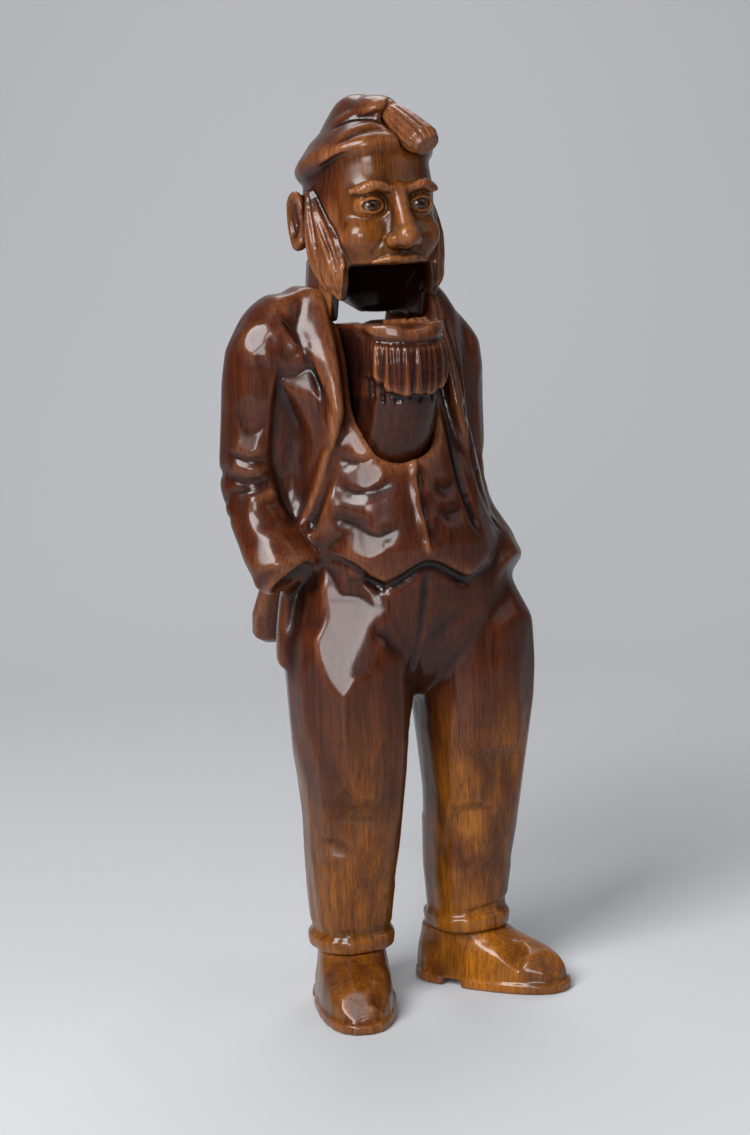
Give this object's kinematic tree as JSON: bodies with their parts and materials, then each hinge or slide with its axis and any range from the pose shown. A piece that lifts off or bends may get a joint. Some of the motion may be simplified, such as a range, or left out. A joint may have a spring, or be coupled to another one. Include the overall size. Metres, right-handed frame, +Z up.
{
  "type": "wooden nutcracker",
  "caption": "Carved standing man in a stocking cap, hands in pockets, whose lower jaw is the front of a lever with a handle behind his back, for cracking nuts.",
  "frame": {"origin": "on the floor, under the middle of the whole figure's bounding box", "axes": "+Z up, the figure faces -Y and its left hand is at +X"},
  "size_m": [0.0794, 0.0986, 0.2269],
  "materials": {
    "body_wood": "carved hardwood, red-brown stain, glossy varnish, near black in the cuts",
    "head_wood": "carved hardwood, red-brown stain, glossy varnish",
    "lever_wood": "carved hardwood, darker red-brown stain, satin varnish",
    "shoe_wood": "carved hardwood, red-brown stain, glossy varnish",
    "dowel_wood": "plain turned dowel",
    "pin_steel": "drawn rod",
    "eye_glass": "polished bead"
  },
  "bodies": {
    "figure": {"trunk_block": "body_wood", "head_block": "head_wood", "right_arm": "body_wood", "left_arm": "body_wood", "right_shoe": "shoe_wood", "left_shoe": "shoe_wood", "cap_tassel": "head_wood", "tassel_peg": "dowel_wood", "pivot_pin": "pin_steel", "right_eye": "eye_glass", "left_eye": "eye_glass", "right_shoulder_dowel": "dowel_wood", "right_elbow_dowel": "dowel_wood", "left_shoulder_dowel": "dowel_wood", "left_elbow_dowel": "dowel_wood", "right_neck_dowel": "dowel_wood", "left_neck_dowel": "dowel_wood", "right_shoe_dowel": "dowel_wood", "left_shoe_dowel": "dowel_wood"},
    "lever": {"jaw_lever": "lever_wood"}
  },
  "joints": [
    {"name": "jaw_hinge", "type": "hinge", "parent": "figure", "child": "lever", "pos_m": [-0.00094, -0.00727, 0.162], "axis": [1, 0, 0], "range_deg": [-21, 0]}
  ]
}
